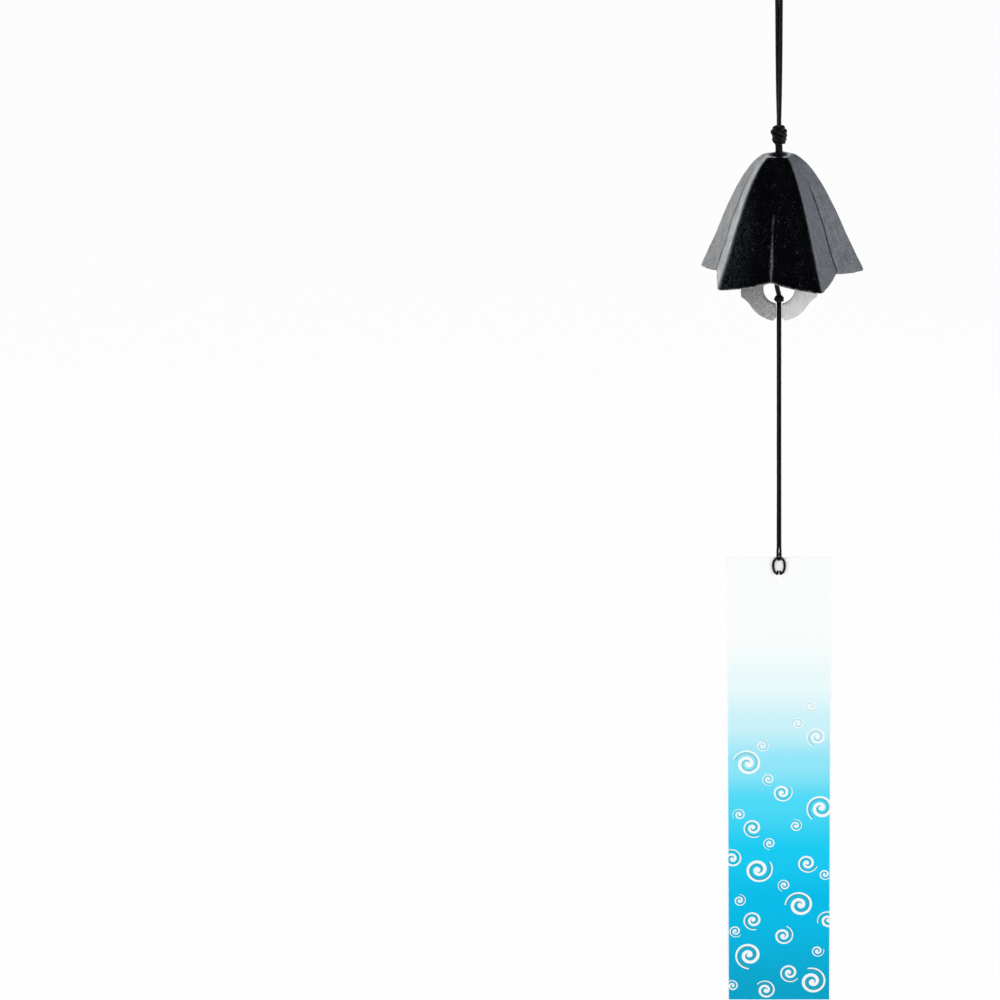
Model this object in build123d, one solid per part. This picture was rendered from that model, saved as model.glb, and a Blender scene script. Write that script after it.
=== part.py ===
from build123d import *
import math
import os

# Wind bell: a cast iron bell shaped like a bellflower, a flat cast clapper and a paper tag,
# strung one below the other on doubled cord.
# Millimetres and degrees. +Z is up and the front faces -Y.
# The origin is the inside of the hanging loop's top, where a hook carries everything below.

# Hanging cord, doubled: two strands side by side, with a loop at the top
hanging_strand = 1.9
hanging_strand_gap = 0.1
loop_inner_radius = 3.0
loop_height = 14.0
loop_throat_length = 3.0
loop_side_length = 3.0
hanging_length = 58.5
loop_round_share = 0.96

# Room that the cord needs where it bends: at the loop's throat, and above and below a knot
throat_gap = 0.7
knot_gap = 0.4

# The knot that shows above the bell, and the stop knot that carries the bell from inside
hanging_knot_width = 8.1
hanging_knot_depth = 6.8
hanging_knot_height = 10.8
neck_length = 3.4
crown_knot_width = 6.4
crown_knot_depth = 5.8
crown_knot_height = 5.6

# A knot's wraps: the height of each as a share of the knot's, its reach as a share of the
# knot's half width, and its slant in degrees
hanging_knot_wrap_shares = ((0.24, 0.86, 24), (0.02, 1.0, -20), (-0.2, 0.9, 16))
crown_knot_wrap_shares = ((0.1, 1.0, 14), (-0.14, 0.94, -16))
small_knot_wrap_shares = ((0.11, 0.93, 14), (-0.11, 1.0, -13))

# Bell
petal_count = 5
petal_turn = 7.4
bell_height = 57.0
tip_radius = 40.3
bell_wall = 2.4
crown_thickness = 3.2
rim_rise = 3.8
ridge_round_rim = 3.0
ridge_round_crown = 1.4
valley_round_rim = 2.6
valley_round_crown = 5.0
inner_ridge_round = 1.2
cord_hole_radius = 2.2
recess_radius = 4.0
recess_depth = 1.2
recess_bevel = 0.5

# The bell's side, from the tips of the rim to the crown: a share of the height, and the
# ridge's and the valley's distance from the axis as shares of the tip's
bell_side_shares = (
    (0.00, 1.000, 0.762),
    (0.10, 0.934, 0.718),
    (0.24, 0.838, 0.649),
    (0.38, 0.751, 0.587),
    (0.52, 0.663, 0.521),
    (0.66, 0.567, 0.447),
    (0.78, 0.472, 0.373),
    (0.88, 0.373, 0.295),
    (0.95, 0.283, 0.224),
    (1.00, 0.185, 0.146),
)

# Clapper: a flat ring with an ear on each side, slit at the bottom for the tag's cord
clapper_drop = 7.2
clapper_outer_radius = 15.3
clapper_inner_radius = 7.2
clapper_thickness = 3.2
clapper_edge_bevel = 0.5
ear_reach = 17.7
ear_sweep_radius = 12.0
ear_tip_half = 2.3
ear_tip_round = 1.4
slit_width = 2.6
slit_bevel_width = 2.2
slit_bevel_height = 1.7
clapper_hole_radius = 1.6

# Tag's cord: a thin waxed cord, doubled
tag_strand = 1.15
tag_strand_gap = 0.05
slit_knot_width = 4.2
slit_knot_depth = 3.0
slit_knot_height = 3.6
clapper_knot_width = 4.0
clapper_knot_depth = 3.4
clapper_knot_height = 3.4
clapper_knot_seat_share = 0.8
clapper_turn_round_share = 0.7
tag_cord_length = 115.5
mouth_gap = 0.75
hitch_gap = 0.5

# The slack stretch in the clapper's window, from the top down: sideways as a share of the
# window's radius, forwards as a share of the cord's reach in front, and down as a share of
# the stretch's height
window_route_shares = (
    (0.03, 1.00, -0.15),
    (-0.07, 1.00, 0.18),
    (-0.15, 0.66, 0.48),
    (-0.10, 0.26, 0.73),
    (0.00, 0.00, 1.00),
)

# Tag: a strip of stiff paper that hangs in a hitch through its hole
tag_width = 50.0
tag_height = 226.0
tag_thickness = 0.4
tag_corner_round = 0.6
tag_hole_radius = 2.4
tag_hole_drop = 8.9
hitch_width = 6.6
hitch_arch_rise = 1.7
hitch_play = 0.25
hitch_lead = 3.6
hitch_back_spread = 1.3
hitch_front_spread = 1.5
hitch_belly_rise_share = 0.45
hitch_shoulder_rise_share = 0.82
hitch_shoulder_width_share = 0.86

# How far a cut runs past what it cuts, the play between cord and what it passes, and how
# much of a corner's shorter run a cord's bend takes
overrun = 2.0
cord_play = 0.1
bend_share = 0.45

# Heights of the main places, stacked down from the origin
throat_z = -loop_height
hanging_knot_top_z = throat_z - hanging_length
hanging_knot_bottom_z = hanging_knot_top_z - hanging_knot_height
crown_z = hanging_knot_bottom_z - neck_length
tip_z = crown_z - bell_height
cavity_top_z = crown_z - crown_thickness
crown_knot_top_z = cavity_top_z - knot_gap
crown_knot_bottom_z = crown_knot_top_z - crown_knot_height
clapper_z = tip_z - clapper_drop
clapper_top_z = clapper_z + clapper_outer_radius
mouth_z = clapper_z - clapper_outer_radius
tag_top_z = mouth_z - tag_cord_length

hanging_pitch = hanging_strand + hanging_strand_gap
tag_pitch = tag_strand + tag_strand_gap


def node(shape, name):
    shape.label = name
    export_step(shape, f"parts/{name}.step")


def straight_pair(top_z, bottom_z, strand, pitch):
    # Two straight strands side by side
    length = top_z - bottom_z
    strands = []
    for side in (-1, 1):
        place = Pos(side * pitch / 2, 0, (top_z + bottom_z) / 2)
        strands.append(place * Cylinder(strand / 2, length))
    return Compound(children=strands)


def tube(path, strand):
    # A round strand along a path, square to the path's start
    start = Plane(origin=path @ 0, z_dir=path % 0)
    return sweep(start * Circle(strand / 2), path=path)


def print_radii(name, radii, strand):
    shown = ", ".join(f"{radius:.2f}" for radius in radii)
    print(f"{name}: strand {strand:.2f} mm, arcs of {shown} mm")


def arc_radii(points):
    # The widest bend that each corner's shorter run has room for
    corners = [Vector(*point) for point in points]
    radii = []
    for before, corner, after in zip(corners, corners[1:], corners[2:]):
        run_in = corner - before
        run_out = after - corner
        half_turn = math.radians(run_in.get_angle(run_out)) / 2
        radii.append(bend_share * min(run_in.length, run_out.length) / math.tan(half_turn))
    return radii


def lump_knot(width, depth, height, strand, wrap_shares):
    # A tight knot: a core under slanting wraps of strand, pressed to its size
    reach = (width - strand) / 2
    body = scale(Sphere(reach), by=(1, 1, height / (2 * reach)))
    for height_share, reach_share, slant in wrap_shares:
        wrap = Torus(reach * reach_share, strand / 2)
        body += Pos(0, 0, height_share * height) * Rot(0, slant, 0) * wrap
    size = body.bounding_box().size
    return scale(body, by=(width / size.X, depth / size.Y, height / size.Z))


# Hanging cord, its loop, its knots and its neck
def hanging_loop():
    reach = loop_inner_radius + hanging_strand / 2
    top = hanging_strand / 2
    shoulder_z = top - reach - loop_side_length
    side = hanging_pitch / 2
    throat_top = throat_z + loop_throat_length
    half = [(side, 0, throat_z), (side, 0, throat_top), (reach, 0, shoulder_z), (reach, 0, top)]
    points = [(-x, y, z) for x, y, z in half] + half[::-1]
    radii = arc_radii(points)
    eye_radius = reach * loop_round_share
    radii[2] = eye_radius
    radii[3] = eye_radius
    print_radii("hanging_loop", radii, hanging_strand)
    return tube(FilletPolyline(*points, radius=radii), hanging_strand)


def hanging_cord():
    top = throat_z - throat_gap
    return straight_pair(top, hanging_knot_top_z + knot_gap, hanging_strand, hanging_pitch)


def hanging_knot():
    lump = lump_knot(hanging_knot_width, hanging_knot_depth, hanging_knot_height,
                     hanging_strand, hanging_knot_wrap_shares)
    return Pos(0, 0, (hanging_knot_top_z + hanging_knot_bottom_z) / 2) * lump


def neck_cord():
    top = hanging_knot_bottom_z - knot_gap
    return straight_pair(top, cavity_top_z, hanging_strand, hanging_pitch)


def crown_knot():
    lump = lump_knot(crown_knot_width, crown_knot_depth, crown_knot_height,
                     hanging_strand, crown_knot_wrap_shares)
    return Pos(0, 0, (crown_knot_top_z + crown_knot_bottom_z) / 2) * lump


# Bell
def ridge_angle(index):
    # Direction of a ridge in plan; half a petal from the front, then turned by petal_turn
    return -90 - petal_turn + (index + 0.5) * 360 / petal_count


def plan_point(distance, angle):
    return (distance * math.cos(math.radians(angle)), distance * math.sin(math.radians(angle)))


def petal_section(ridge, valley, ridge_round, valley_round, z):
    # The bell's outline in plan at one height: a five-pointed flower, its corners rounded.
    # A ridge's distance is taken on its round, so the corner under the round lies further out
    half_petal = 180 / petal_count
    ridge_corner = ridge + ridge_round * (1 / math.sin(half_angles(ridge, valley)[0]) - 1)
    points = []
    radii = []
    for index in range(petal_count):
        points.append(plan_point(ridge_corner, ridge_angle(index)))
        points.append(plan_point(valley, ridge_angle(index) + half_petal))
        radii += [ridge_round, valley_round]
    outline = FilletPolyline(*points, radius=radii, close=True)
    return Pos(0, 0, z) * make_face(outline)


def half_angles(ridge, valley):
    # Half of the outline's inner angle at a ridge and at a valley
    half_petal = math.pi / petal_count
    across = valley * math.sin(half_petal)
    at_ridge = math.atan2(across, ridge - valley * math.cos(half_petal))
    return at_ridge, math.pi - half_petal - at_ridge


def moved_in(ridge, valley, ridge_round, distance):
    # Ridge and valley of an outline whose sides lie a distance inside the given one's
    at_ridge, at_valley = half_angles(ridge, valley)
    ridge_corner = ridge + ridge_round * (1 / math.sin(at_ridge) - 1)
    inner_corner = ridge_corner - distance / math.sin(at_ridge)
    inner_ridge = inner_corner - inner_ridge_round * (1 / math.sin(at_ridge) - 1)
    inner_valley = valley - distance / math.sin(at_valley)
    return inner_ridge, inner_valley


def side_at(share):
    # Ridge and valley distances at a share of the bell's height
    rows = bell_side_shares
    low, high = rows[0], rows[1]
    for before, after in zip(rows, rows[1:]):
        if before[0] <= share:
            low, high = before, after
    part = (share - low[0]) / (high[0] - low[0])
    ridge = low[1] + (high[1] - low[1]) * part
    valley = low[2] + (high[2] - low[2]) * part
    return ridge * tip_radius, valley * tip_radius


def between(rim_value, crown_value, share):
    return rim_value + (crown_value - rim_value) * share


def bell_body(shares, inward):
    # A solid flower-shaped body through sections at shares of the height
    faces = []
    for share in shares:
        ridge, valley = side_at(share)
        ridge_round = between(ridge_round_rim, ridge_round_crown, share)
        valley_round = between(valley_round_rim, valley_round_crown, share)
        if inward:
            ridge, valley = moved_in(ridge, valley, ridge_round, inward)
            ridge_round = inner_ridge_round
            valley_round += inward
        z = tip_z + share * bell_height
        faces.append(petal_section(ridge, valley, ridge_round, valley_round, z))
    return loft(faces)


def rim_trim():
    # Five petals' space, each round underneath, so that the rim rises to every valley
    valley = bell_side_shares[0][2] * tip_radius
    half_petal = 180 / petal_count
    across = valley * math.sin(math.radians(half_petal))
    under_radius = (across ** 2 + rim_rise ** 2) / (2 * rim_rise)
    reach = 2 * tip_radius
    space = None
    for index in range(petal_count):
        angle = ridge_angle(index)
        corners = [(0, 0), plan_point(reach, angle - half_petal),
                   plan_point(reach, angle + half_petal)]
        wedge = Pos(0, 0, tip_z - overrun) * extrude(make_face(Polyline(*corners, close=True)),
                                                     2 * under_radius)
        middle = plan_point(reach / 2, angle)
        roll = Pos(middle[0], middle[1], tip_z + under_radius)
        barrel = roll * Rot(0, 0, angle) * Rot(0, 90, 0) * Cylinder(under_radius, reach)
        petal = wedge & barrel
        space = petal if space is None else space + petal
    return space


def bell():
    shares = [row[0] for row in bell_side_shares]
    below = -overrun / bell_height
    cavity_share = (bell_height - crown_thickness) / bell_height
    inner_shares = [share for share in shares if share < cavity_share - crown_thickness / bell_height]
    outer = bell_body([below] + shares, 0)
    cavity = bell_body([below * 2] + inner_shares + [cavity_share], bell_wall)
    shell = (outer - cavity) & rim_trim()
    hole_length = crown_thickness + 2 * overrun
    shell -= Pos(0, 0, crown_z - crown_thickness / 2) * Cylinder(cord_hole_radius, hole_length)
    recess_profile = Polyline(
        (0, crown_z - recess_depth),
        (recess_radius, crown_z - recess_depth),
        (recess_radius, crown_z - recess_bevel),
        (recess_radius + recess_bevel + overrun, crown_z + overrun),
        (0, crown_z + overrun),
        close=True,
    )
    shell -= revolve(Plane.XZ * make_face(recess_profile), Axis.Z)
    return shell


# Clapper
def clapper_outline():
    sweep_centre_z = ear_tip_half + ear_sweep_radius
    reach = clapper_outer_radius + ear_sweep_radius
    sweep_centre_x = math.sqrt(reach ** 2 - sweep_centre_z ** 2)
    strip_half = sweep_centre_z * clapper_outer_radius / reach
    ears = Rectangle(2 * ear_reach, 2 * strip_half)
    for side_x in (-1, 1):
        for side_z in (-1, 1):
            ears -= Pos(side_x * sweep_centre_x, side_z * sweep_centre_z) * Circle(ear_sweep_radius)
    tips = [corner for corner in ears.vertices() if abs(corner.X) > ear_reach - ear_tip_half]
    ears = fillet(tips, ear_tip_round)
    outline = Circle(clapper_outer_radius) + ears - Circle(clapper_inner_radius)
    mouth = -clapper_outer_radius
    half = slit_width / 2
    slit = Polyline(
        (-half, 0),
        (half, 0),
        (half, mouth + slit_bevel_height),
        (half + 2 * slit_bevel_width, mouth - slit_bevel_height),
        (-half - 2 * slit_bevel_width, mouth - slit_bevel_height),
        (-half, mouth + slit_bevel_height),
        close=True,
    )
    return outline - make_face(slit)


def clapper():
    flat = extrude(clapper_outline(), clapper_thickness / 2, both=True)
    faces = flat.faces().sort_by(Axis.Z)
    rims = faces[0].edges() + faces[-1].edges()
    plate = chamfer(rims, clapper_edge_bevel)
    hole_z = (clapper_outer_radius + clapper_inner_radius) / 2
    plate -= Pos(0, hole_z, 0) * Cylinder(clapper_hole_radius, clapper_thickness + overrun)
    return Pos(0, 0, clapper_z) * Rot(90, 0, 0) * plate


# Tag's cord, its knots and its hitch
def clapper_cord():
    bottom = clapper_hitch_top() + knot_gap
    return straight_pair(crown_knot_bottom_z - knot_gap, bottom, tag_strand, tag_pitch)


def clapper_hitch_top():
    seat = clapper_knot_height * clapper_knot_seat_share
    return clapper_top_z + cord_play + tag_strand + seat


def clapper_hitch():
    # Two turns through the hole at the clapper's top, under a small knot
    leg_y = clapper_thickness / 2 + cord_play + tag_strand / 2
    low = clapper_z + (clapper_outer_radius + clapper_inner_radius) / 2
    high = clapper_top_z + cord_play + tag_strand / 2
    radius = leg_y * clapper_turn_round_share
    turns = None
    for side in (-1, 1):
        x = side * tag_pitch / 2
        points = [(x, -leg_y, low), (x, leg_y, low), (x, leg_y, high), (x, -leg_y, high)]
        ring = FilletPolyline(*points, radius=radius, close=True)
        start = Plane(origin=ring @ 0, z_dir=ring % 0)
        turn = sweep(start * Circle(tag_strand / 2), path=ring)
        turns = turn if turns is None else turns + turn
    lump = lump_knot(clapper_knot_width, clapper_knot_depth, clapper_knot_height,
                     tag_strand, small_knot_wrap_shares)
    return turns + Pos(0, 0, clapper_hitch_top() - clapper_knot_height / 2) * lump


def slit_knot_z():
    # The knot rests above the slit, on the ring's inner edge
    seat = math.sqrt(clapper_inner_radius ** 2 - (slit_knot_width / 2) ** 2)
    return clapper_z - seat + knot_gap + slit_knot_height / 2


def window_cord():
    # The slack stretch from the hole down to the slit's knot, in front of the ring's top
    front = clapper_thickness / 2 + cord_play + tag_strand
    top = clapper_z + clapper_inner_radius
    bottom = slit_knot_z() + slit_knot_height / 2 + knot_gap
    route = []
    for side_share, front_share, drop_share in window_route_shares:
        z = top - drop_share * (top - bottom)
        route.append((side_share * clapper_inner_radius, -front_share * front, z))
    radii = arc_radii(route)
    print_radii("window_cord", radii, tag_strand)
    strands = []
    for side in (-1, 1):
        points = [(x + side * tag_pitch / 2, y, z) for x, y, z in route]
        strands.append(tube(FilletPolyline(*points, radius=radii), tag_strand))
    return Compound(children=strands)


def slit_knot():
    lump = lump_knot(slit_knot_width, slit_knot_depth, slit_knot_height,
                     tag_strand, small_knot_wrap_shares)
    return Pos(0, 0, slit_knot_z()) * lump


def slit_cord():
    top = slit_knot_z() - slit_knot_height / 2 - knot_gap
    return straight_pair(top, mouth_z + slit_bevel_height, tag_strand, tag_pitch)


def tag_cord():
    top = mouth_z + slit_bevel_height - mouth_gap
    return straight_pair(top, tag_top_z + hitch_lead + hitch_gap, tag_strand, tag_pitch)


def tag_hitch():
    # The cord's end goes behind the tag, through the hole, up the front as two legs,
    # and closes as an arch round the cord above the tag's edge
    face_y = tag_thickness / 2 + hitch_play + tag_strand / 2
    near = tag_pitch / 2
    wide = (hitch_width - tag_strand) / 2
    shoulder = wide * hitch_shoulder_width_share
    hole_top_z = tag_top_z - tag_hole_drop + tag_hole_radius
    turn_z = hole_top_z - hitch_play - tag_strand / 2
    leg = tag_top_z + hitch_arch_rise - tag_strand / 2 - turn_z
    half = [(near, 0, tag_top_z + hitch_lead),
            (near, hitch_play, tag_top_z + hitch_lead / 2),
            (near, face_y, tag_top_z - tag_strand),
            (near * hitch_back_spread, face_y, turn_z),
            (near * hitch_front_spread, -face_y, turn_z),
            (wide, -face_y, turn_z + leg * hitch_belly_rise_share),
            (shoulder, -face_y - hitch_play / 2, turn_z + leg * hitch_shoulder_rise_share),
            (near, -face_y - hitch_play, turn_z + leg)]
    points = [(-x, y, z) for x, y, z in half] + half[::-1]
    radii = arc_radii(points)
    print_radii("tag_hitch", radii, tag_strand)
    return tube(FilletPolyline(*points, radius=radii), tag_strand)


# Tag
def tag():
    sheet = RectangleRounded(tag_width, tag_height, tag_corner_round)
    sheet -= Pos(0, tag_height / 2 - tag_hole_drop) * Circle(tag_hole_radius)
    plate = extrude(sheet, tag_thickness / 2, both=True)
    return Pos(0, 0, tag_top_z - tag_height / 2) * Rot(90, 0, 0) * plate


os.makedirs("parts", exist_ok=True)
node(hanging_loop(), "hanging_loop")
node(hanging_cord(), "hanging_cord")
node(hanging_knot(), "hanging_knot")
node(neck_cord(), "neck_cord")
node(bell(), "bell")
node(crown_knot(), "crown_knot")
node(clapper_cord(), "clapper_cord")
node(clapper_hitch(), "clapper_hitch")
node(clapper(), "clapper")
node(window_cord(), "window_cord")
node(slit_knot(), "slit_knot")
node(slit_cord(), "slit_cord")
node(tag_cord(), "tag_cord")
node(tag_hitch(), "tag_hitch")
node(tag(), "tag")
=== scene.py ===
# %% [markdown]
# A wind bell is a string of small things: a loop of braided cord, a knot, a cast bell, a cast
# clapper inside it, a thin waxed cord and a paper tag. The engineering model is already made,
# so this notebook loads it as a fixed frame and gives every piece its real surface.
# Each step first says what the piece is on the real object and why it is made this way.

# %% Open the frame
import math

import bmesh
import bpy
import numpy as np
from mathutils import Matrix, Vector, noise


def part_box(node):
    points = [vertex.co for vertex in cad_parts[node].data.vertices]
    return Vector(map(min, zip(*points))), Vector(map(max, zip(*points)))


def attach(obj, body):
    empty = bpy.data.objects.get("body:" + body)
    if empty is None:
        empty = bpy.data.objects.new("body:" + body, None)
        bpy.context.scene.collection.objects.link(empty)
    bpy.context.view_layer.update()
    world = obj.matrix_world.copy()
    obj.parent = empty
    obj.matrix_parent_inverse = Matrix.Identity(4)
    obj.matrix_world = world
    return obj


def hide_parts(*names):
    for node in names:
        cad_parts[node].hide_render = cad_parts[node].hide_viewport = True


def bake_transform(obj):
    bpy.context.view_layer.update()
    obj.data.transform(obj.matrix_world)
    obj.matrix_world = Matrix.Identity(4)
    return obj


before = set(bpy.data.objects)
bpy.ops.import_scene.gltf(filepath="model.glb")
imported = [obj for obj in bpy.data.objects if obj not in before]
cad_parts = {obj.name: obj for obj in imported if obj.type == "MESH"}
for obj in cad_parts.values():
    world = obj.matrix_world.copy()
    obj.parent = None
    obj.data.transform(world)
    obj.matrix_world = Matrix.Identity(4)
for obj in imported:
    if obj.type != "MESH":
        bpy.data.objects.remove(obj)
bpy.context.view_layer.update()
MM = 0.001
print("pieces in the frame:", len(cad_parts))

# %% [markdown]
# The boxes of the pieces that others hang from, or are seated on, are read from the frame and
# not typed again. A piece that is placed from them stays right when the model changes.

# %% Read the main places
knot_low, knot_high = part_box("hanging_knot")
stop_low, stop_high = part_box("crown_knot")
slit_low, slit_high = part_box("slit_knot")
bell_low, bell_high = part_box("bell")
clapper_low, clapper_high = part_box("clapper")
tag_low, tag_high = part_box("tag")
_, hitch_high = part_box("tag_hitch")
clapper_hitch_low, clapper_hitch_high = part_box("clapper_hitch")
print(f"bell from z {bell_low.z:.4f} to {bell_high.z:.4f} m")
print(f"tag from z {tag_low.z:.4f} to {tag_high.z:.4f} m")

# %% [markdown]
# The camera comes first, because everything after it is judged through it. The photograph was
# taken from far away with a long lens, a little from above. The bell hangs right of the middle,
# so the camera turns left about its own upright axis. That keeps the cord upright in the
# picture, which a plain turn about the world's axis would not.

# %% Make the camera
PICTURE_SIDE_PX = 1000
FOCAL_PX = 5312
AXIS_PX = 779
SENSOR = 36.0
aim = Vector((0, 0, -0.2535))
camera_distance = 2.5
camera_tilt = math.radians(17.4)
camera_turn = math.atan((AXIS_PX - PICTURE_SIDE_PX / 2) / FOCAL_PX)

upward = Vector((0, math.sin(camera_tilt), math.cos(camera_tilt)))
ahead = Vector((0, math.cos(camera_tilt), -math.sin(camera_tilt)))
forward = Matrix.Rotation(camera_turn, 3, upward) @ ahead
rightward = forward.cross(upward)

camera_data = bpy.data.cameras.new("camera")
camera_data.lens = SENSOR * FOCAL_PX / PICTURE_SIDE_PX
camera_data.sensor_width = SENSOR
camera_data.clip_start = 0.05
camera_data.clip_end = 50
camera = bpy.data.objects.new("camera", camera_data)
bpy.context.scene.collection.objects.link(camera)
turned = Matrix((rightward, upward, -forward)).transposed().to_4x4()
camera.matrix_world = Matrix.Translation(aim - ahead * camera_distance) @ turned
bpy.context.scene.camera = camera
bpy.context.scene.view_settings.view_transform = "Standard"
print(f"lens {camera_data.lens:.0f} mm, turned {math.degrees(camera_turn):.2f} degrees")

# %% [markdown]
# A few small tools are used again and again. An operator acts on all that is selected, so one
# tool leaves a single object selected. Another applies a modifier straight away, so that the
# finished piece is a plain mesh. The last one gives a finished piece its material and tells the
# frame which body it rides on and which engineering pieces it takes the place of.


# %% Tools for objects
JOIN_WITHIN = 0.002 * MM


def pick_only(obj):
    bpy.ops.object.select_all(action="DESELECT")
    obj.hide_set(False)
    obj.select_set(True)
    bpy.context.view_layer.objects.active = obj


def link_mesh(name, mesh):
    obj = bpy.data.objects.new(name, mesh)
    bpy.context.scene.collection.objects.link(obj)
    return obj


def apply_modifier(obj, kind, **settings):
    pick_only(obj)
    modifier = obj.modifiers.new(kind.lower(), kind)
    for key, value in settings.items():
        setattr(modifier, key, value)
    bpy.ops.object.modifier_apply(modifier=modifier.name)


def edit_all(obj, operator, **settings):
    # Runs one edit mode operator on the whole mesh
    pick_only(obj)
    bpy.ops.object.mode_set(mode="EDIT")
    bpy.ops.mesh.select_all(action="SELECT")
    operator(**settings)
    bpy.ops.object.mode_set(mode="OBJECT")


def merged_copy(node_name, name):
    # A copy of a node's mesh with its loose triangles joined
    obj = link_mesh(name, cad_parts[node_name].data.copy())
    edit_all(obj, bpy.ops.mesh.remove_doubles, threshold=JOIN_WITHIN)
    return obj


def finish_piece(obj, body, material, replaced):
    obj.data.materials.clear()
    obj.data.materials.append(material)
    if body:
        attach(obj, body)
    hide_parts(*replaced)
    count = sum(len(face.vertices) - 2 for face in obj.data.polygons)
    print(f"{obj.name}: {count} triangles")


# %% [markdown]
# Materials are small networks of nodes. The helpers below keep each network short to read: each
# makes one kind of node and connects its inputs, and one turns a colour as seen on a screen into
# the linear value that a shader wants. All patterns read the object's own coordinates in
# millimetres, so they sit still on the piece from every side.


# %% Tools for materials
def screen_colour(red, green, blue):
    # The standard curve from a screen's values, 0 to 255, to linear light
    linear = []
    for value in (red, green, blue):
        share = value / 255
        linear.append(share / 12.92 if share <= 0.04045 else ((share + 0.055) / 1.055) ** 2.4)
    return (*linear, 1)


def connect(tree, socket, value):
    if isinstance(value, bpy.types.NodeSocket):
        tree.links.new(value, socket)
    else:
        socket.default_value = value


def calc(tree, operation, *values):
    node = tree.nodes.new("ShaderNodeMath")
    node.operation = operation
    for socket, value in zip(node.inputs, values):
        connect(tree, socket, value)
    return node.outputs[0]


def remap(tree, value, low, high, out_low=0.0, out_high=1.0, smooth=False):
    node = tree.nodes.new("ShaderNodeMapRange")
    node.interpolation_type = "SMOOTHSTEP" if smooth else "LINEAR"
    for name, entry in (("Value", value), ("From Min", low), ("From Max", high),
                        ("To Min", out_low), ("To Max", out_high)):
        connect(tree, node.inputs[name], entry)
    return node.outputs["Result"]


def blend_colour(tree, share, first, second):
    node = tree.nodes.new("ShaderNodeMix")
    node.data_type = "RGBA"
    connect(tree, node.inputs["Factor"], share)
    connect(tree, node.inputs["A"], first)
    connect(tree, node.inputs["B"], second)
    return node.outputs["Result"]


def in_millimetres(tree, stretch=(1, 1, 1)):
    coordinates = tree.nodes.new("ShaderNodeTexCoord")
    scaled = tree.nodes.new("ShaderNodeMapping")
    scaled.inputs["Scale"].default_value = [share / MM for share in stretch]
    tree.links.new(coordinates.outputs["Object"], scaled.inputs["Vector"])
    return scaled.outputs["Vector"]


def stored(tree, name):
    # A value that was stored on the mesh under this name
    node = tree.nodes.new("ShaderNodeAttribute")
    node.attribute_name = name
    return node.outputs["Fac"]


def grain(tree, vector, scale, detail=3, roughness=0.5):
    node = tree.nodes.new("ShaderNodeTexNoise")
    connect(tree, node.inputs["Vector"], vector)
    node.inputs["Scale"].default_value = scale
    node.inputs["Detail"].default_value = detail
    node.inputs["Roughness"].default_value = roughness
    return node.outputs["Fac"]


def raise_bump(tree, height, distance, strength):
    node = tree.nodes.new("ShaderNodeBump")
    node.inputs["Strength"].default_value = strength
    node.inputs["Distance"].default_value = distance
    connect(tree, node.inputs["Height"], height)
    return node.outputs["Normal"]


def new_material(name):
    material = bpy.data.materials.new(name)
    material.use_nodes = True
    tree = material.node_tree
    return material, tree, tree.nodes["Principled BSDF"]


# %% [markdown]
# The hanging cord is a fine braid: strands go round the cord both ways and pass over and under
# each other. Seen near it is a pattern of small diamonds with fibres along each strand. The
# mesh carries the diamonds, and this material adds the fibres, which it finds by a value stored
# on the mesh, a soft, dry black and small grey glints, which are painted highlights.


# %% Braided cord material
FIBRES_ACROSS = 4


def braided_black():
    material, tree, shader = new_material("braided_cord")
    across = stored(tree, "across_strand")
    fibres = calc(tree, "SINE", calc(tree, "MULTIPLY", across, 2 * math.pi * FIBRES_ACROSS))
    place = in_millimetres(tree)
    fuzz = grain(tree, place, 6, 4, 0.6)
    height = calc(tree, "ADD", calc(tree, "MULTIPLY", fibres, 0.5), fuzz)
    tree.links.new(raise_bump(tree, height, 0.03 * MM, 0.8), shader.inputs["Normal"])
    patch = remap(tree, grain(tree, place, 0.5, 2), 0.35, 0.65)
    # small grey glints painted into the colour: painted highlights
    painted_glint = remap(tree, grain(tree, place, 2.2, 2), 0.62, 0.72, 0.0, 0.4)
    colour = blend_colour(tree, patch, screen_colour(7, 7, 9), screen_colour(17, 18, 23))
    colour = blend_colour(tree, painted_glint, colour, screen_colour(60, 62, 68))
    tree.links.new(colour, shader.inputs["Base Color"])
    shader.inputs["Roughness"].default_value = 0.6
    shader.inputs["Specular IOR Level"].default_value = 0.2
    return material


# %% [markdown]
# The lower cord is waxed: smooth and nearly black, with a clear narrow shine, and here and
# there a pale speck of wax or dust. The pattern is stretched along the cord, because the wax is
# drawn out that way.


# %% Waxed cord material
def waxed_black():
    material, tree, shader = new_material("waxed_cord")
    place = in_millimetres(tree, (1, 1, 0.25))
    lumps = grain(tree, place, 1.3, 3)
    tree.links.new(raise_bump(tree, lumps, 0.06 * MM, 0.5), shader.inputs["Normal"])
    speck = remap(tree, grain(tree, in_millimetres(tree), 2.4, 1), 0.74, 0.78)
    colour = blend_colour(tree, lumps, screen_colour(6, 6, 8), screen_colour(18, 19, 22))
    colour = blend_colour(tree, speck, colour, screen_colour(120, 122, 126))
    tree.links.new(colour, shader.inputs["Base Color"])
    tree.links.new(remap(tree, lumps, 0.3, 0.7, 0.26, 0.42), shader.inputs["Roughness"])
    shader.inputs["Specular IOR Level"].default_value = 0.22
    return material
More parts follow.
